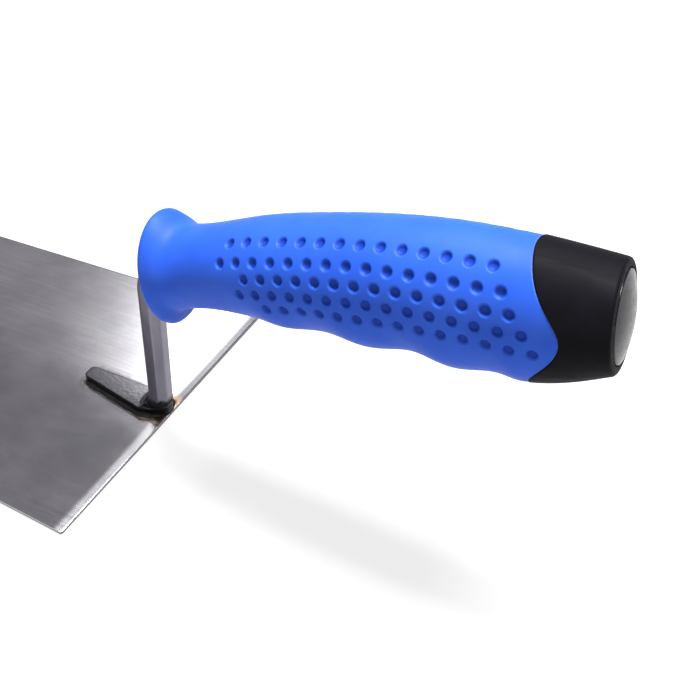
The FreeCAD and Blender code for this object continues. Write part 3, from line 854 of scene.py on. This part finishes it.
def make_weld():
    """The bead round the foot, rippled along its run."""
    outline = rounded_outline(FOOT_CORNERS, FOOT_CORNER, 0.3)
    run = np.concatenate([[0], np.cumsum(np.linalg.norm(np.diff(outline, axis=0), axis=1))])
    ripple = 0.05 * np.sin(TURN * run / 1.7) + 0.10 * np.sin(TURN * run / 7.3 + 1.0)
    thin = 1 - 0.9 * smoothstep(HEEL_START, HEEL_END, outline[:, 0])
    thin -= 0.7 * smoothstep(TIP_START, TIP_END, outline[:, 0])
    leg = (WELD_LEG + ripple) * thin
    tall = (WELD_HEIGHT + 0.6 * ripple) * (0.3 + 0.7 * thin)
    rings = []
    for t in np.linspace(0, 1, 8):
        bulge = WELD_BULGE * math.sin(math.pi * t) * thin
        ring = level(outline, -(leg * (1 - t) + bulge), BLADE_TOP)
        ring[:, 2] += tall * t + bulge
        rings.append(ring)
    top = level(outline, WELD_COVER, BLADE_TOP)
    top[:, 2] += tall * 0.9
    rings += [top, level(outline, WELD_COVER, BLADE_TOP)]
    hollow_loop("weld_bead", rings, WELD_METAL, "weld_metal", "foot_weld")


make_blade()
make_neck()
make_weld()
make_grip()
make_butt_cap()
make_end_plug()
for node, material in (("handle_core", CORE_BLACK), ("tang_washer", ZINC_PLATE),
                       ("tang_nut", ZINC_PLATE)):
    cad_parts[node].data.materials.clear()
    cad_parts[node].data.materials.append(material)


# ------------------------------------------------------------------ studio: floor, light and camera


FLOOR_HALF = 3.0  # metres, as is everything below
FLOOR_DROP = 0.0002
FLOOR_LINES = 9


def make_floor():
    steps = np.linspace(-FLOOR_HALF, FLOOR_HALF, FLOOR_LINES)
    points = [(x, y, -FLOOR_DROP) for x in steps for y in steps]
    corners = [i * FLOOR_LINES + j for i in range(FLOOR_LINES - 1) for j in range(FLOOR_LINES - 1)]
    faces = [(c, c + FLOOR_LINES, c + FLOOR_LINES + 1, c + 1) for c in corners]
    mesh = bpy.data.meshes.new("floor")
    mesh.from_pydata(points, [], faces)
    s = Shader("pale_floor", Base_Color=(0.12, 0.12, 0.12, 1), Roughness=0.9,
               Emission_Color=(1, 1, 1, 1), Emission_Strength=0.8)
    mesh.materials.append(s.material)
    floor = bpy.data.objects.new("floor", mesh)
    bpy.context.scene.collection.objects.link(floor)


def make_panel(name, place, target, width, height, power):
    """A soft box at a place, facing a target, with its width level."""
    data = bpy.data.lights.new(name, "AREA")
    data.shape = "RECTANGLE"
    data.size, data.size_y = width, height
    data.energy = power
    light = bpy.data.objects.new(name, data)
    light.location = place
    light.rotation_mode = "QUATERNION"
    light.rotation_quaternion = (Vector(place) - Vector(target)).to_track_quat("Z", "Y")
    bpy.context.scene.collection.objects.link(light)
    return light


FADE_POWER = 3.6
FADE_FLOOR = 0.02
FADE_START, FADE_END, FADE_SLANT = 0.77, 0.11, -0.22


def fade_across(light, start, end, slant):
    """Makes a soft box's light rise slowly, then fast, between two shares of its width.

    The slant is how much a share of its height counts against a share of its width.
    """
    light.data.use_nodes = True
    tree = light.data.node_tree
    spot = tree.nodes.new("ShaderNodeNewGeometry").outputs["Parametric"]
    across = tree.nodes.new("ShaderNodeVectorMath")
    across.operation = "DOT_PRODUCT"
    across.inputs[1].default_value = (1.0, slant, 0.0)
    rise = tree.nodes.new("ShaderNodeMapRange")
    rise.inputs["From Min"].default_value = start
    rise.inputs["From Max"].default_value = end
    curve = tree.nodes.new("ShaderNodeMath")
    curve.operation = "POWER"
    curve.inputs[1].default_value = FADE_POWER
    lifted = tree.nodes.new("ShaderNodeMath")
    lifted.inputs[1].default_value = FADE_FLOOR
    tree.links.new(spot, across.inputs[0])
    tree.links.new(across.outputs["Value"], rise.inputs["Value"])
    tree.links.new(rise.outputs["Result"], curve.inputs[0])
    tree.links.new(curve.outputs[0], lifted.inputs[0])
    tree.links.new(lifted.outputs[0], tree.nodes["Emission"].inputs["Strength"])


WORLD_COLOUR, WORLD_STRENGTH = (0.95, 0.93, 1.0, 1), 0.22
# Each soft box: place, target, width, height and watts.
OVERHEAD = ((0.13, 0.25, 1.2), (0.13, 0.25, 0.0), 1.05, 0.32, 73.0)
FRONT_FILL = ((0.3, -1.2, 0.22), (0.08, 0.0, 0.08), 1.4, 0.36, 10.0)
BACK_LEFT = ((-0.95, 1.0, 1.105), (-0.95, 0.0, 1.105), 0.7, 0.35, 3.9)


def make_studio():
    world = bpy.data.worlds.new("studio")
    world.use_nodes = True
    sky = world.node_tree.nodes["Background"]
    sky.inputs["Color"].default_value = WORLD_COLOUR
    sky.inputs["Strength"].default_value = WORLD_STRENGTH
    bpy.context.scene.world = world
    make_panel("overhead", *OVERHEAD)
    make_panel("front_fill", *FRONT_FILL)
    fade_across(make_panel("back_left", *BACK_LEFT), FADE_START, FADE_END, FADE_SLANT)
    bpy.context.scene.view_settings.view_transform = "Standard"


CAMERA_AZIMUTH = 27.52
CAMERA_PITCH = 41.65
CAMERA_LENS = 54.5
CAMERA_SENSOR = 36.0
CAMERA_PLACE = (0.16607, -0.18746, 0.24278)


def make_camera():
    data = bpy.data.cameras.new("camera")
    data.lens = CAMERA_LENS
    data.sensor_width = CAMERA_SENSOR
    camera = bpy.data.objects.new("camera", data)
    camera.location = CAMERA_PLACE
    camera.rotation_euler = (math.radians(90 - CAMERA_PITCH), 0, math.radians(CAMERA_AZIMUTH))
    bpy.context.scene.collection.objects.link(camera)
    bpy.context.scene.camera = camera


make_floor()
make_studio()
make_camera()
